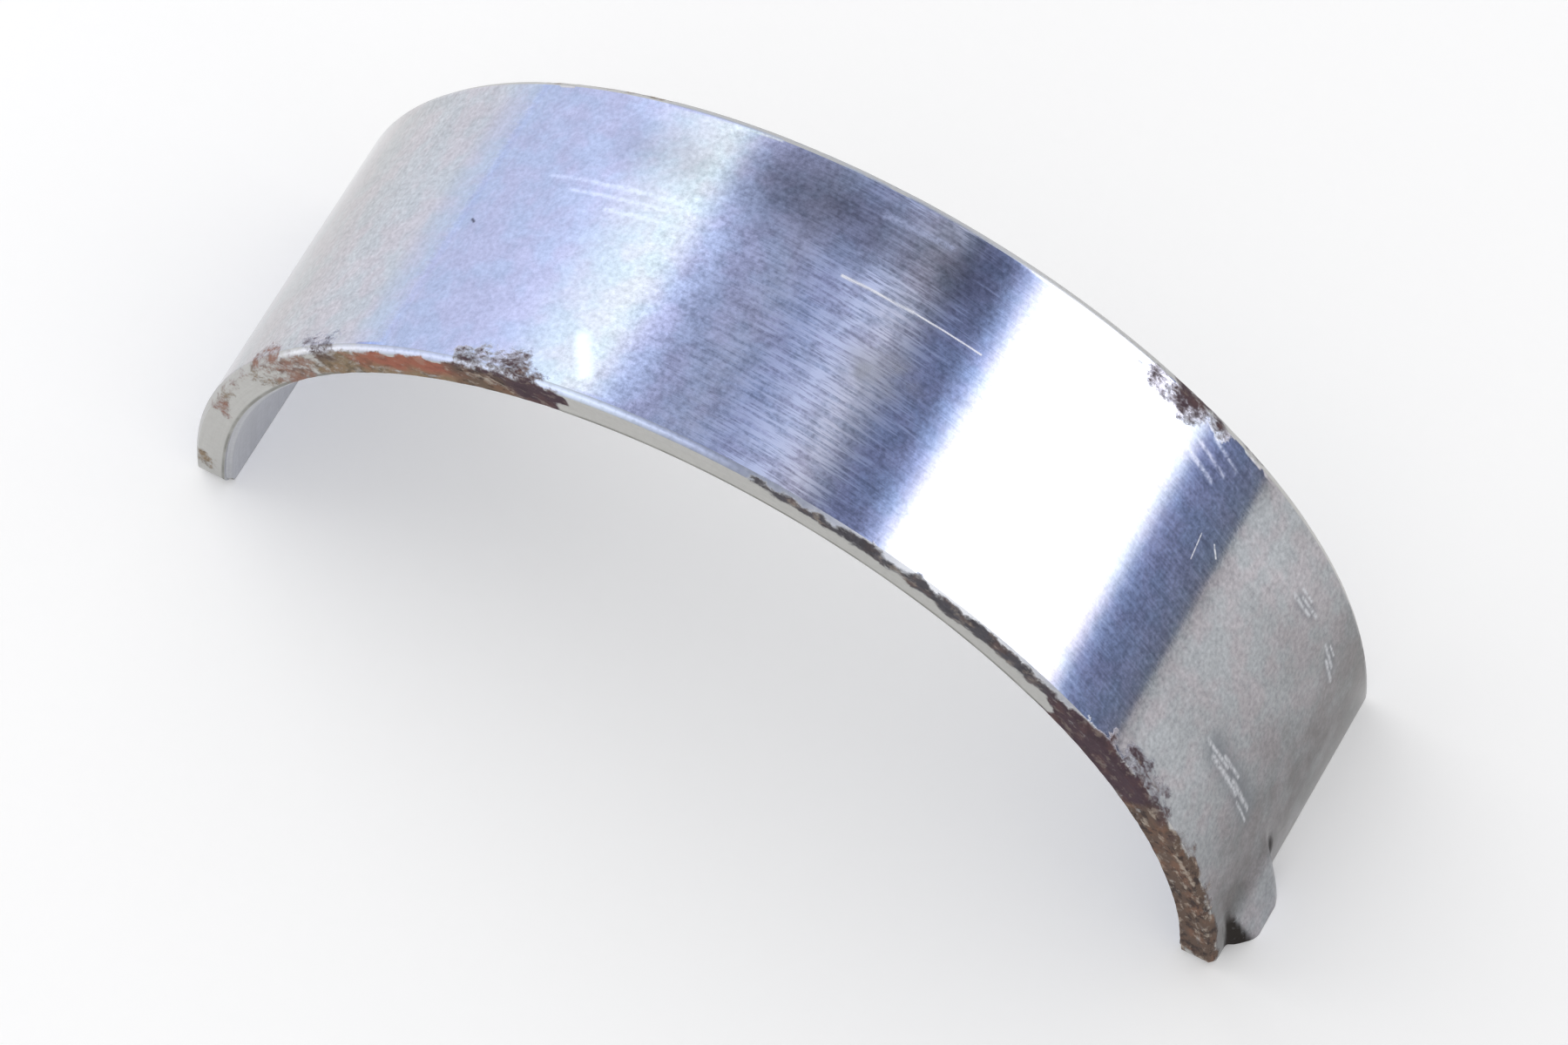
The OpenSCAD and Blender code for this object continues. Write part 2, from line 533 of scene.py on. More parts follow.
def weatherRims(piece):
    points = readPoints(piece)
    x, y, z = points.T
    count = len(points)
    degrees = np.degrees(np.arctan2(z, x))
    radius = np.hypot(x, z)
    fromRim = halfWidth - np.abs(y)
    down = backRadius - radius - fromRim
    rustDegrees = degrees + noiseOver(points, crust["ragSize"], crust["endShift"]) * crust["ragEnds"]
    rustDown = down + noiseOver(points, crust["ragSize"], crust["sideShift"]) * crust["ragSides"]
    outside = (radius > boreRadius + crust["boreClear"]) | (fromRim < crust["boreRim"])
    amount = np.zeros(count)
    colour = np.tile(grime[crust["firstColour"]][0], (count, 1))
    mottle = np.full(count, crust["firstMottle"])
    layers = (amount, colour, mottle)
    rustRim(layers, nearRimRust, nearRimSpots, rustDegrees, rustDown, outside & (y < 0))
    rustRim(layers, farRimRust, farRimSpots, rustDegrees, rustDown, outside & (y > 0))
    # a painted highlight along the near rim's chamfer
    fromEnds = np.minimum(degrees - rubbedHighlightEdge["start"], rubbedHighlightEdge["end"] - degrees)
    onChamfer = (down > rubbedHighlightEdge["top"]) & (down < rubbedHighlightEdge["bottom"]) & (fromRim < rubbedHighlightEdge["reach"])
    rubbedHighlight = np.clip(fromEnds / rubbedHighlightEdge["fade"], 0, 1) * (onChamfer & (y < 0))
    # soil and painted shade at the tang's near flank, and a dark spot at its far root
    soilAndShade = soilAndShadeAtTang(points)
    biteRims(points, amount)
    writePoints(piece, points)
    for name, values in (("rust", amount), ("mottle", mottle), ("soilAndShade", soilAndShade), ("rubbedHighlight", rubbedHighlight)):
        piece.data.attributes.new(name, "FLOAT", "POINT").data.foreach_set("value", values)
    shades = np.hstack([colour, np.ones((count, 1))])
    shadeLayer = piece.data.attributes.new("rustColour", "FLOAT_COLOR", "POINT")
    shadeLayer.data.foreach_set("color", shades.ravel())


weatherRims(halfShell)
print("rims weathered")

# Looks of the rust, and of the soil with painted shade at the tang. A noise has its scale per mm, detail,
# roughness and distortion.
# A fade has two limits of a value, and what it gives at them where that isn't 0 and 1.
rustLook = {
    "stretch": (0.6, 1, 1),             # patches are longer round the rim
    "patches": (1.3, 4.0, 0.6),
    "patchGain": 1.3,
    "fringe": (4.2, 5.0, 0.7, 0.6),
    "fringeGain": 1.1,
    "maskFade": (0.4, 0.92),
    "amountFade": (0.03, 0.25),
    "specular": 0.2,                    # rust, and soil with its painted shade, hardly shine
    "roughness": 0.85,
    "bump": (0.8, 0.06 * mm),
    # warmer patches, dark pits and pale dusty grains: noise, its shift, its limits, strength and colour
    "tones": (
        ((1.1, 3.0), (31.0, 17.0, 5.0), (0.48, 0.68), 0.4, (0.30, 0.15, 0.09, 1)),
        ((2.0, 4.0, 0.65), (0.0, 0.0, 0.0), (0.52, 0.36), 0.7, (0.022, 0.017, 0.018, 1)),
        ((1.8, 4.0, 0.65), (31.0, 17.0, 5.0), (0.52, 0.68), 0.8, (0.46, 0.39, 0.32, 1)),
    ),
}
# the near-black of the soil and painted shade at the tang
soilAndShadeLook = {
    "colour": (0.018, 0.013, 0.009, 1),
    "patches": (2.2, 4.0),
    "fade": (0.1, 0.4),
}


# Shader groups that the finishes share
def makeShellSpace():
    # unrolls the shell: millimetres round the back, along the shaft and out from the axis
    tree, given, result = newGroup("shellSpace", [("Position", "Vector")], [("Flow", "Vector")])
    x, y, z = splitVector(tree, given["Position"])
    angle = doMath(tree, "ARCTAN2", z, x)
    radius = doMath(tree, "SQRT", plus(tree, times(tree, x, x), times(tree, z, z)))
    flow = joinVector(tree, times(tree, angle, backRadius / mm), times(tree, y, 1 / mm),
                      times(tree, radius, 1 / mm))
    feed(tree, result["Flow"], flow)
    return tree


def makeBrushLines():
    # lines that run round the shell, with their length, spacing and depth in millimetres as Size
    inputs = [("Flow", "Vector"), ("Size", "Vector"), ("Lean", "Float")]
    tree, given, result = newGroup("brushLines", inputs, [("Lines", "Float")])
    x, y, z = splitVector(tree, given["Flow"])
    leaning = minus(tree, y, times(tree, x, given["Lean"]))
    stretched = doVector(tree, "DIVIDE", joinVector(tree, x, leaning, z), given["Size"])
    feed(tree, result["Lines"], noiseAt(tree, stretched, scale=1.0, detail=3.0, roughness=0.6))
    return tree


def makeLineMark():
    # a thin mark between two places on the unrolled shell
    inputs = [("Flow", "Vector"), ("Start", "Vector"), ("End", "Vector"), ("Width", "Float")]
    tree, given, result = newGroup("lineMark", inputs, [("Mark", "Float")])
    flat = doVector(tree, "MULTIPLY", given["Flow"], (1, 1, 0))
    offset = doVector(tree, "SUBTRACT", flat, given["Start"])
    run = doVector(tree, "SUBTRACT", given["End"], given["Start"])
    share = doMath(tree, "DIVIDE", doVector(tree, "DOT_PRODUCT", offset, run),
                   doVector(tree, "DOT_PRODUCT", run, run), clamp=True)
    reached = addNode(tree, "ShaderNodeVectorMath", operation="SCALE")
    feed(tree, reached.inputs["Vector"], run)
    feed(tree, reached.inputs["Scale"], share)
    distance = doVector(tree, "LENGTH", doVector(tree, "SUBTRACT", offset, reached.outputs["Vector"]))
    feed(tree, result["Mark"], remap(tree, distance, given["Width"], 0.0))
    return tree


def makeRustCover():
    # rust that thins out and breaks up at its edge, from what is painted on the mesh
    inputs = [("Flow", "Vector"), ("Amount", "Float"), ("Mottle", "Float"), ("Tone", "Color")]
    outputs = [("Mask", "Float"), ("Colour", "Color"), ("Crust", "Float")]
    tree, given, result = newGroup("rustCover", inputs, outputs)
    flow = doVector(tree, "MULTIPLY", given["Flow"], rustLook["stretch"])
    fringe = noiseAt(tree, flow, *rustLook["fringe"])
    level = plus(tree, given["Amount"], swing(tree, noiseAt(tree, flow, *rustLook["patches"]),
                                              rustLook["patchGain"]))
    level = plus(tree, level, swing(tree, fringe, rustLook["fringeGain"]))
    mask = remap(tree, level, *rustLook["maskFade"])
    present = remap(tree, given["Amount"], *rustLook["amountFade"])
    feed(tree, result["Mask"], times(tree, mask, present))
    colour = given["Tone"]
    for texture, shift, limits, strength, tone in rustLook["tones"]:
        moved = doVector(tree, "ADD", flow, shift)
        spread = remap(tree, noiseAt(tree, moved, *texture), *limits)
        share = times(tree, spread, times(tree, given["Mottle"], strength))
        colour = mixColour(tree, share, colour, tone)
    feed(tree, result["Colour"], colour)
    feed(tree, result["Crust"], times(tree, fringe, mask))
    return tree


shellSpace = makeShellSpace()
brushLines = makeBrushLines()
lineMark = makeLineMark()
rustCover = makeRustCover()
print("shader groups made")


def startMaterial(name):
    material = bpy.data.materials.new(name)
    material.use_nodes = True
    tree = material.node_tree
    place = addNode(tree, "ShaderNodeTexCoord")
    flow = placeGroup(tree, shellSpace, Position=place.outputs["Object"])["Flow"]
    bsdf = tree.nodes["Principled BSDF"].inputs
    bsdf["Specular IOR Level"].default_value = rustLook["specular"]
    return material, tree, bsdf, flow


def painted(tree, name, output="Fac"):
    return addNode(tree, "ShaderNodeAttribute", attribute_name=name).outputs[output]


def brushed(tree, flow, size, lean=0.0):
    return placeGroup(tree, brushLines, Flow=flow, Size=size, Lean=lean)["Lines"]


def onShell(degrees, across):
    # a place on the unrolled back, from degrees and millimetres
    return (math.radians(degrees) * backRadius / mm, across, 0)


def placeMark(tree, flow, place):
    start, end, first, last, width = place
    return placeGroup(tree, lineMark, Flow=flow, Start=onShell(start, first), End=onShell(end, last),
                      Width=width)["Mark"]


def marksAt(tree, flow, places):
    together = 0.0
    for place in places:
        together = larger(tree, together, placeMark(tree, flow, place))
    return together


def roundShell(tree, arc, stops):
    # a value that changes round the shell, from stops in degrees
    halfTurn = math.pi * backRadius / mm
    shades = [(degrees / 180, (value, value, value, 1)) for degrees, value in stops]
    return rampAt(tree, doMath(tree, "DIVIDE", arc, halfTurn), shades)


def finishSteel(tree, bsdf, flow, colour, roughness, normal, metal=1.0):
    # lays rust, and soil with painted shade at the tang, over a bare metal finish
    cover = placeGroup(tree, rustCover, Flow=flow, Amount=painted(tree, "rust"),
                       Mottle=painted(tree, "mottle"), Tone=painted(tree, "rustColour", "Color"))
    patches = remap(tree, noiseAt(tree, flow, *soilAndShadeLook["patches"]), *soilAndShadeLook["fade"])
    # soil and painted shade at the foot of the tang's near flank
    soilAndShade = times(tree, painted(tree, "soilAndShade"), patches, clamp=True)
    bare = times(tree, minus(tree, 1.0, cover["Mask"]), minus(tree, 1.0, soilAndShade))
    dirty = mixColour(tree, soilAndShade, colour, soilAndShadeLook["colour"])
    feed(tree, bsdf["Base Color"], mixColour(tree, cover["Mask"], dirty, cover["Colour"]))
    feed(tree, bsdf["Metallic"], times(tree, bare, metal))
    feed(tree, bsdf["Roughness"], mixValue(tree, bare, rustLook["roughness"], roughness))
    feed(tree, bsdf["Normal"], bumpFrom(tree, cover["Crust"], *rustLook["bump"], normal))


# The brushed back, tarnished towards both ends, where painted shade also darkens it in place of the floor
# that the ends mirror. Places are from and to in degrees round the shell, from and to in mm along the
# shaft, and a width in mm.
back = {
    "dark": (0.42, 0.425, 0.445, 1),
    "light": (0.82, 0.825, 0.845, 1),
    "cool": (0.965, 1.0, 1.02, 1),      # the hue drifts between these two
    "warm": (1.025, 0.975, 1.0, 1),
    # tarnish, and painted shade standing in for the darker floor that the ends mirror
    "tarnishAndReflectedShade": (0.19, 0.178, 0.165, 1),
    # a painted blue reflection laid near 130 degrees round the shell
    "reflectionBlue": (0.935, 1.05, 1.3, 1),
    "glint": (0.95, 0.94, 0.93, 1),
    "lines": {"fine": (3.2, 0.13, 50.0), "streak": (2.6, 0.17, 50.0)},
    "lean": 0.05,                       # how far the lines lean off the round
    "noises": {
        "grain": (3.2, 4.0, 0.7),
        "blotch": (0.75, 3.0),
        "stain": (0.8, 3.0),
        "drift": (0.55, 3.0),
        "cloud": (0.2, 3.0),
    },
    "grainGain": 2.2,
    "blotchGain": 0.8,
    "driftFade": (0.36, 0.64),
    "patchGains": (0.9, 1.0),           # how blotches and clouds break up the tarnish and painted shade
    "patchFade": (-0.35, 0.3, 0.8, 1.15),
    "tangFade": (0.05, 0.6, 1.0, 0.5),  # less tarnish and painted shade on the raised tang, from mm above the back
    "palerPlace": (30, 37, 6.5, 6.0, 4.0),
    "palerPlaceFade": (0.0, 1.0, 1.0, 0.75),
    "farFilm": (97, 78, 7.2, 7.0, 5.0),
    "filmShare": 0.6,
    "farHaze": (105, 112, 6.3, 6.5, 3.0),
    "hazeShare": 0.26,
    "glintRag": 15.0,                   # mm that the glinting streaks' ends are drawn out
    "glintStreaks": (0.42, 0.6, 0.0, 1.25),
    "glintFilm": (0.0, 1.0, 1.0, 0.15),
    "glintBlotches": (0.36, 0.6, 0.45, 1.15),
    "roughness": 0.1,
    "fineRough": 0.06,
    "cloudRough": 0.08,
    "fineBump": (0.25, 0.006 * mm),
    "grainBump": (0.12, 0.008 * mm),
    # degrees round the shell, and how much tarnish with painted shade, metal, painted blue reflection,
    # brushing, mottle and glint is there
    "tarnishAndReflectedShadeAt": ((0, 1.0), (6, 0.99), (12, 0.81), (20, 0.61), (28, 0.49), (37, 0.4), (39, 0.53),
                  (41, 0.15), (43, 0.0), (127, 0.0), (129, 0.27), (130, 0.29), (132, 0.2), (140, 0.2),
                  (153, 0.4), (161, 0.5), (170, 0.4), (180, 0.38)),
    "metalAt": ((0, 1.0), (146, 1.0), (160, 0.7), (164, 0.7), (174, 1.0), (180, 1.0)),
    "reflectionBlueAt": ((126, 0.0), (128, 0.9), (129, 0.93), (130, 0.8), (132, 0.37), (134, 0.29), (140, 0.2),
               (150, 0.0)),
    "brushAt": ((0, 0.3), (37, 0.3), (41, 1.0), (90, 1.1), (98, 0.6), (106, 0.3), (180, 0.3)),
    "mottleAt": ((0, 0.8), (37, 0.8), (41, 1.2), (46, 1.2), (49, 0.5), (70, 0.5), (73, 1.2), (98, 1.2),
                 (106, 0.6), (128, 0.5), (140, 0.8), (180, 0.9)),
    "glintAt": ((76, 0.0), (79.5, 1.0), (85, 1.0), (94, 0.3), (100, 0.0)),
}
# Marks on the back, laid one over the other. A mark's strength is even, or follows a noise
# through a fade.
scratches = {
    "colour": (0.92, 0.92, 0.94, 1),
    "noise": "streak",
    "fade": (0.3, 0.62, 0.35, 0.85),
    "roughness": 0.4,
    "scatters": True,                   # a scratch catches light from all round
    "places": (
        (86.5, 79, 3.4, 3.5, 0.16),
        (80, 71.5, 3.5, 3.5, 0.09),
        (42.9, 42.5, 3.8, 2.2, 0.07),
        (40.9, 39.9, 3.9, 3.4, 0.10),
    ),
}
rubs = {
    "colour": (0.92, 0.92, 0.94, 1),
    "noise": "grain",
    "fade": (0.3, 0.62, 0.2, 0.55),
    "roughness": 0.4,
    "places": (
        (119, 104, 3.3, 3.6, 0.26),
        (116, 105, 2.6, 2.9, 0.22),
        (111, 101, 1.9, 2.1, 0.26),
        (86, 79, 7.9, 8.1, 0.4),
        (50, 45, 7.0, 6.5, 0.3),
        (48.5, 44, 7.8, 7.3, 0.25),
        (47, 43, 8.6, 8.1, 0.25),
    ),
}
stain = {
    "colour": (0.60, 0.57, 0.48, 1),
    "noise": "stain",
    "fade": (0.3, 0.7, 0.15, 0.7),
    "roughness": 0.28,
    "places": ((80, 77, -1.0, -0.4, 2.2),),
}
gleam = {
    "colour": (0.95, 0.95, 0.95, 1),
    "strength": 0.8,
    "places": ((103.2, 105.4, -8.2, -6.3, 0.8),),
}
dullGround = {
    "colour": (0.135, 0.15, 0.17, 1),
    "strength": 0.6,
    "places": (
        (27, 16.5, -4.1, -4.0, 1.7),
        (27, 24.5, 6.3, 6.6, 0.9),
        (17.5, 15.5, 6.5, 6.1, 0.9),
    ),
}
scuffs = {
    "colour": (0.6, 0.61, 0.64, 1),
    "noise": "grain",
    "fade": (0.3, 0.62, 0.15, 0.85),
    "places": (
        (28.6, 23.5, -4.25, -4.05, 0.24),
        (26.5, 19.8, -4.55, -4.40, 0.32),
        (24.8, 21.0, -3.85, -3.70, 0.22),
        (21.6, 16.2, -4.20, -4.05, 0.28),
        (18.8, 15.4, -4.60, -4.55, 0.18),
        (28.2, 24.4, 6.20, 6.35, 0.24),
        (26.8, 23.2, 6.60, 6.75, 0.22),
        (27.4, 25.2, 6.95, 7.00, 0.18),
        (18.9, 15.6, 6.50, 6.30, 0.24),
        (17.4, 14.2, 6.10, 5.90, 0.24),
        (18.0, 16.4, 6.85, 6.80, 0.16),
    ),
}
speck = {
    "colour": (0.07, 0.06, 0.07, 1),
    "strength": 0.85,
    "places": ((125.2, 124.8, -0.35, -0.5, 0.16),),
}


def backNoises(tree, flow):
    noises = {name: noiseAt(tree, flow, *texture) for name, texture in back["noises"].items()}
    for name, size in back["lines"].items():
        noises[name] = brushed(tree, flow, size, back["lean"])
    return noises


def brushedColour(tree, arc, noises):
    tint = times(tree, minus(tree, noises["fine"], 0.5), roundShell(tree, arc, back["brushAt"]))
    tint = plus(tree, tint, swing(tree, noises["grain"], back["grainGain"]))
    tint = plus(tree, tint, swing(tree, noises["blotch"], back["blotchGain"]))
    tint = times(tree, tint, roundShell(tree, arc, back["mottleAt"]))
    hue = mixColour(tree, remap(tree, noises["drift"], *back["driftFade"]), back["cool"], back["warm"])
    return mixColour(tree, 1.0, shadeBetween(tree, back, tint), hue, blend="MULTIPLY")


def tarnishAndReflectedShadeShare(tree, flow, arc, noises, film):
    # tarnish and painted shade in soft patches, paler on the raised tang and in one place on the far side
    blotchGain, cloudGain = back["patchGains"]
    uneven = plus(tree, swing(tree, noises["blotch"], blotchGain), swing(tree, noises["cloud"], cloudGain))
    share = times(tree, roundShell(tree, arc, back["tarnishAndReflectedShadeAt"]),
                  remap(tree, uneven, *back["patchFade"]), clamp=True)
    raised = minus(tree, splitVector(tree, flow)["Z"], backRadius / mm)
    share = times(tree, share, remap(tree, raised, *back["tangFade"]))
    palerPlace = placeMark(tree, flow, back["palerPlace"])
    share = times(tree, share, remap(tree, palerPlace, *back["palerPlaceFade"]))
    # a film and a haze lie along the far rim
    haze = times(tree, placeMark(tree, flow, back["farHaze"]), back["hazeShare"])
    return larger(tree, share, larger(tree, times(tree, film, back["filmShare"]), haze))


def glintShare(tree, arc, noises, film):
    # short streaks with ragged ends, fewer under the film
    ragged = plus(tree, arc, swing(tree, noises["streak"], back["glintRag"]))
    share = times(tree, roundShell(tree, ragged, back["glintAt"]),
                  remap(tree, noises["streak"], *back["glintStreaks"]))
    share = times(tree, share, remap(tree, film, *back["glintFilm"]))
    return times(tree, share, remap(tree, noises["blotch"], *back["glintBlotches"]), clamp=True)


def layMarks(tree, flow, noises, colour, roughness, metal):
    for mark in (scratches, rubs, stain, gleam, dullGround, scuffs, speck):
        strength = mark.get("strength")
        if strength is None:
            strength = remap(tree, noises[mark["noise"]], *mark["fade"])
        share = times(tree, marksAt(tree, flow, mark["places"]), strength)
        colour = mixColour(tree, share, colour, mark["colour"])
        if "roughness" in mark:
            roughness = mixValue(tree, share, roughness, mark["roughness"])
        if mark.get("scatters"):
            metal = times(tree, metal, minus(tree, 1.0, share))
    return colour, roughness, metal


def makeBackSteel():
    material, tree, bsdf, flow = startMaterial("brushedBack")
    arc = splitVector(tree, flow)["X"]
    noises = backNoises(tree, flow)
    film = placeMark(tree, flow, back["farFilm"])
    colour = brushedColour(tree, arc, noises)
    # tarnish and painted shade darken the ends, where they mirror the floor
    tarnishAndReflectedShade = tarnishAndReflectedShadeShare(tree, flow, arc, noises, film)
    colour = mixColour(tree, tarnishAndReflectedShade, colour, back["tarnishAndReflectedShade"], blend="MULTIPLY")
    # a painted blue reflection near 130 degrees round the shell
    colour = mixColour(tree, roundShell(tree, arc, back["reflectionBlueAt"]), colour, back["reflectionBlue"], blend="MULTIPLY")
    colour = mixColour(tree, glintShare(tree, arc, noises, film), colour, back["glint"])
    roughness = plus(tree, back["roughness"], swing(tree, noises["fine"], back["fineRough"]))
    roughness = plus(tree, roughness, swing(tree, noises["cloud"], back["cloudRough"]))
    metal = roundShell(tree, arc, back["metalAt"])
    colour, roughness, metal = layMarks(tree, flow, noises, colour, roughness, metal)
    normal = bumpFrom(tree, noises["fine"], *back["fineBump"])
    normal = bumpFrom(tree, noises["grain"], *back["grainBump"], normal)
    finishSteel(tree, bsdf, flow, colour, roughness, normal, metal)
    return material


# Turned edges: rims, chamfers and parting faces
cut = {
    "dark": (0.40, 0.395, 0.375, 1),
    "light": (0.57, 0.565, 0.54, 1),
    # pale colour of the painted highlight on the near rim's chamfer
    "rubbedHighlight": (0.90, 0.90, 0.93, 1),
    "crease": (0.13, 0.13, 0.11, 1),
    "lines": (7.0, 0.3, 0.14),
    "lineGain": 0.5,
    "lineBump": (1.0, 0.01 * mm),
    "grain": (3.0, 4.0, 0.65),
    "grainGain": 0.9,
    "rubbedHighlightFade": (0.3, 0.55, 0.6, 1.0),
    "outerCrease": (0.16, 0.03, 0.0, 0.75),     # mm from a crease, then how dark it is there
    "innerCrease": (0.18, 0.02, 0.0, 0.95),
    "creaseNoise": (0.5, 3.0),
    "creaseFade": (0.3, 0.6, 0.6, 1.0),
    "roughness": 0.34,
    "grainRough": 0.25,
}


def makeCutSteel():
    material, tree, bsdf, flow = startMaterial("cutEdges")
    lines = brushed(tree, flow, cut["lines"])
    grain = noiseAt(tree, flow, *cut["grain"])
    tint = plus(tree, swing(tree, lines, cut["lineGain"]), swing(tree, grain, cut["grainGain"]))
    # painted highlight on the near rim's rubbed chamfer
    rubbedHighlight = times(tree, painted(tree, "rubbedHighlight"), remap(tree, grain, *cut["rubbedHighlightFade"]))
    colour = mixColour(tree, rubbedHighlight, shadeBetween(tree, cut, tint), cut["rubbedHighlight"])
    # darker along the creases on both sides of the bore's chamfer
    depth = minus(tree, splitVector(tree, flow)["Z"], boreRadius / mm)
    outer = doMath(tree, "ABSOLUTE", minus(tree, depth, shell["boreChamferDeep"] / mm))
    crease = larger(tree, remap(tree, outer, *cut["outerCrease"]), remap(tree, depth, *cut["innerCrease"]))
    uneven = remap(tree, noiseAt(tree, flow, *cut["creaseNoise"]), *cut["creaseFade"])
    colour = mixColour(tree, times(tree, crease, uneven), colour, cut["crease"])
    roughness = plus(tree, cut["roughness"], swing(tree, grain, cut["grainRough"]))
    finishSteel(tree, bsdf, flow, colour, roughness, bumpFrom(tree, lines, *cut["lineBump"]))
    return material


# The bore's satin lining
lining = {
    "dark": (0.38, 0.385, 0.405, 1),
    "light": (0.60, 0.605, 0.63, 1),
    "lines": (14.0, 0.1, 50.0),
    "lineGain": 0.6,
    "lineBump": (1.0, 0.006 * mm),
    "wear": (22.0, 1.3, 50.0),
    "wearGain": 0.9,
    "wearRough": 0.18,
    "grain": (3.0, 3.0, 0.6),
    "grainGain": 0.7,
    "roughness": 0.34,
}


def makeLining():
    material, tree, bsdf, flow = startMaterial("boreLining")
    lines = brushed(tree, flow, lining["lines"])
    wear = brushed(tree, flow, lining["wear"])
    grain = noiseAt(tree, flow, *lining["grain"])
    tint = plus(tree, swing(tree, lines, lining["lineGain"]), swing(tree, wear, lining["wearGain"]))
    tint = plus(tree, tint, swing(tree, grain, lining["grainGain"]))
    roughness = plus(tree, lining["roughness"], swing(tree, wear, lining["wearRough"]))
    finishSteel(tree, bsdf, flow, shadeBetween(tree, lining, tint), roughness,
                bumpFrom(tree, lines, *lining["lineBump"]))
    return material


# Which way a face looks decides its finish: 1 is straight out from the axis, -1 straight in
faceLimits = {
    "back": 0.85,
    "tang": 0.3,
    "tangReach": 0.6,           # share of the tang's width to each side of its middle
    "bore": -0.2,
    "chamfer": -0.5,
    "rim": 0.3,                 # along the shaft
    "parting": -0.6,            # down
}


def onTang(centre):
    return (centre.x > 0 and centre.z < tang["length"]
            and abs(centre.y - tangMiddle) < faceLimits["tangReach"] * tang["width"])


def paintFaces(piece):
    for material in (makeBackSteel(), makeCutSteel(), makeLining()):
        piece.data.materials.append(material)
    backIndex, cutIndex, liningIndex = range(3)
    for face in piece.data.polygons:
        centre = face.center
        normal = face.normal
        outward = Vector((centre.x, 0, centre.z)).normalized().dot(normal)
        flat = abs(normal.y) > faceLimits["rim"] or normal.z < faceLimits["parting"]
        nearBore = math.hypot(centre.x, centre.z) < middleRadius
        if outward > faceLimits["back"] or (outward > faceLimits["tang"] and onTang(centre)):
            face.material_index = backIndex
        elif nearBore and outward < faceLimits["bore"] and not (flat and outward > faceLimits["chamfer"]):
            face.material_index = liningIndex
        else:
            face.material_index = cutIndex
    deselectAll()
    piece.select_set(True)
    bpy.context.view_layer.objects.active = piece
    bpy.ops.object.shade_smooth_by_angle(angle=math.radians(shell["smoothAngle"]))


paintFaces(halfShell)
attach(halfShell, "root")
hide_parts("bearing_shell")
print("shell finished")

# Studio: a pale floor, a white world, a soft key lamp and a tent of panels that the metal mirrors
studio = {
    "floorSize": 8.0,
    "floorDrop": 0.02 * mm,             # a hair below the part
    "floorColour": (0.95, 0.95, 0.955, 1),
    "fibreColour": (0.93575, 0.93575, 0.940675, 1),
    "fibre": (900.0, 3.0),
    "floorRoughness": 0.95,
    "floorSpecular": 0.1,
    "floorLift": 0.1,                   # how much whiter the paper is seen than it is lit
    "white": (1, 1, 1, 1),
    "fill": 0.8,
    "keyPlace": Vector((-0.32, 0.05, 0.30)),
    "keySize": 0.5,
    "keyPower": 0.5,
    "tentRadius": 1.5,
    "tentLength": 6.0,
    "tentSides": 128,
    "tentFoot": -0.01,
    "tentStrength": 2.4,
    # degrees up from +X over the shell, and the panel's colour there
    "panels": (
        (0, (0.088, 0.105, 0.15)), (13.5, (0.088, 0.108, 0.185)), (17.5, (0.155, 0.195, 0.34)),
        (22, (0.9, 0.92, 1.0)), (61, (0.9, 0.92, 1.0)),
        (65, (0.24, 0.31, 0.52)), (69, (0.085, 0.105, 0.185)), (75, (0.082, 0.10, 0.175)),
        (79, (0.118, 0.133, 0.19)), (83.5, (0.228, 0.24, 0.312)), (91, (0.207, 0.236, 0.345)),
        (99, (0.15, 0.177, 0.285)), (107, (0.165, 0.187, 0.275)), (117, (0.183, 0.21, 0.322)),
        (124, (0.325, 0.37, 0.55)),
        (131, (0.54, 0.61, 0.64)), (141, (0.465, 0.53, 0.62)), (150, (0.375, 0.42, 0.59)),
        (160, (0.325, 0.365, 0.515)), (180, (0.305, 0.345, 0.48)),
    ),
}


def seenDirectly(tree):
    # 1 where the camera sees it, in the metal too
    path = addNode(tree, "ShaderNodeLightPath").outputs
    seen = larger(tree, path["Is Camera Ray"], path["Is Glossy Ray"])
    return larger(tree, seen, path["Is Transmission Ray"])


def makeFloor():
    deselectAll()
    bpy.ops.mesh.primitive_plane_add(size=studio["floorSize"], location=(0, 0, -studio["floorDrop"]))
    floor = bpy.context.object
    floor.name = "paleFloor"
    material = bpy.data.materials.new("palePaper")
    material.use_nodes = True
    tree = material.node_tree
    bsdf = tree.nodes["Principled BSDF"].inputs
    fibre = noiseAt(tree, addNode(tree, "ShaderNodeTexCoord").outputs["Object"], *studio["fibre"])
    feed(tree, bsdf["Base Color"], mixColour(tree, fibre, studio["fibreColour"], studio["floorColour"]))
    bsdf["Roughness"].default_value = studio["floorRoughness"]
    bsdf["Specular IOR Level"].default_value = studio["floorSpecular"]
    bsdf["Emission Color"].default_value = studio["white"]
    feed(tree, bsdf["Emission Strength"], times(tree, seenDirectly(tree), studio["floorLift"]))
    floor.data.materials.append(material)


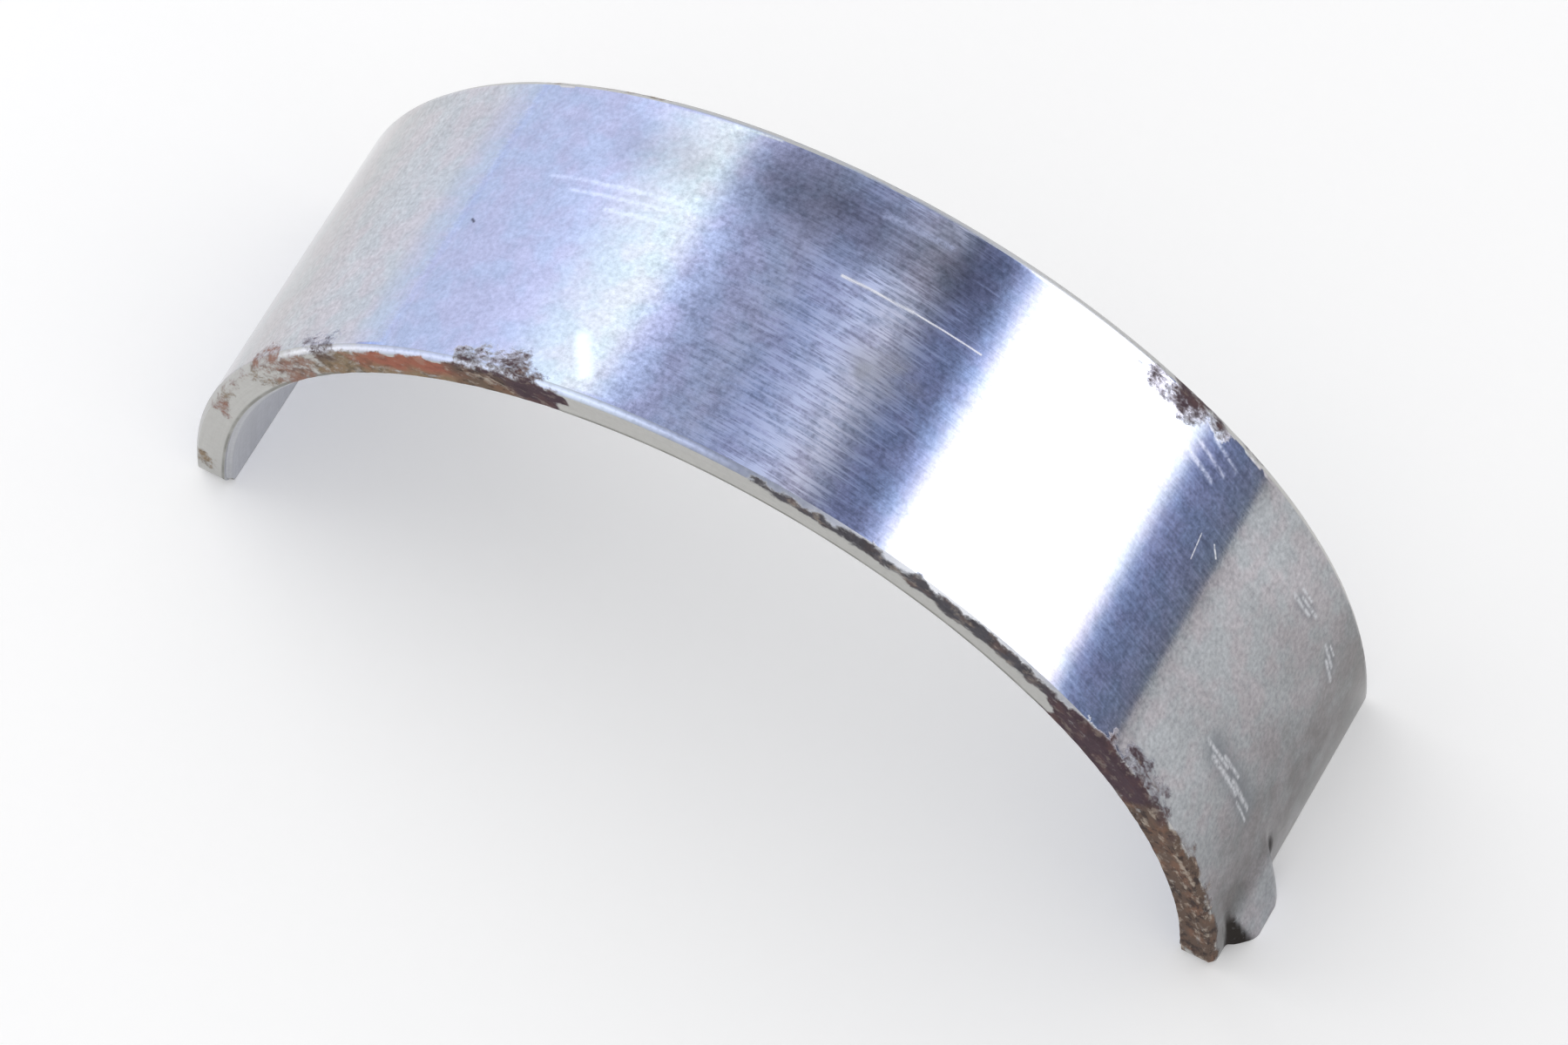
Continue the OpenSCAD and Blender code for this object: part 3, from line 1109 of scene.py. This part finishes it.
def makeWorld():
    world = bpy.data.worlds.new("whiteStudio")
    world.use_nodes = True
    tree = world.node_tree
    sky = tree.nodes["Background"].inputs
    sky["Color"].default_value = studio["white"]
    feed(tree, sky["Strength"], mixValue(tree, seenDirectly(tree), studio["fill"], 1.0))
    bpy.context.scene.world = world


def makeKey():
    deselectAll()
    bpy.ops.object.light_add(type="AREA", location=studio["keyPlace"])
    key = bpy.context.object
    key.name = "softKey"
    key.data.shape = "DISK"
    key.data.size = studio["keySize"]
    key.data.energy = studio["keyPower"]
    key.rotation_mode = "QUATERNION"
    key.rotation_quaternion = (-studio["keyPlace"]).to_track_quat("-Z", "Y")
    key.visible_glossy = False
    key.visible_camera = False


def makePanels():
    # light that changes with the angle over the shell
    material = bpy.data.materials.new("tentPanels")
    material.use_nodes = True
    tree = material.node_tree
    tree.nodes.remove(tree.nodes["Principled BSDF"])
    place = splitVector(tree, addNode(tree, "ShaderNodeTexCoord").outputs["Object"])
    halfTurns = doMath(tree, "DIVIDE", doMath(tree, "ARCTAN2", place["Z"], place["X"]), math.pi)
    stops = [(degrees / 180, tone + (1,)) for degrees, tone in studio["panels"]]
    glow = addNode(tree, "ShaderNodeEmission")
    glow.inputs["Strength"].default_value = studio["tentStrength"]
    feed(tree, glow.inputs["Color"], rampAt(tree, halfTurns, stops))
    feed(tree, tree.nodes["Material Output"].inputs["Surface"], glow.outputs[0])
    return material


def makeTent():
    deselectAll()
    bpy.ops.mesh.primitive_cylinder_add(vertices=studio["tentSides"], radius=studio["tentRadius"],
                                        depth=studio["tentLength"], rotation=(math.pi / 2, 0, 0))
    tent = bpy.context.object
    tent.name = "reflectionTent"
    bpy.ops.object.transform_apply(location=True, rotation=True, scale=True)
    bpy.ops.object.mode_set(mode="EDIT")
    bpy.ops.mesh.select_all(action="SELECT")
    bpy.ops.mesh.bisect(plane_co=(0, 0, studio["tentFoot"]), plane_no=(0, 0, -1), clear_outer=True)
    bpy.ops.object.mode_set(mode="OBJECT")
    tent.data.materials.append(makePanels())
    # only the metal sees it
    tent.visible_camera = False
    tent.visible_diffuse = False
    tent.visible_shadow = False


makeFloor()
makeWorld()
makeKey()
makeTent()
print("studio set")
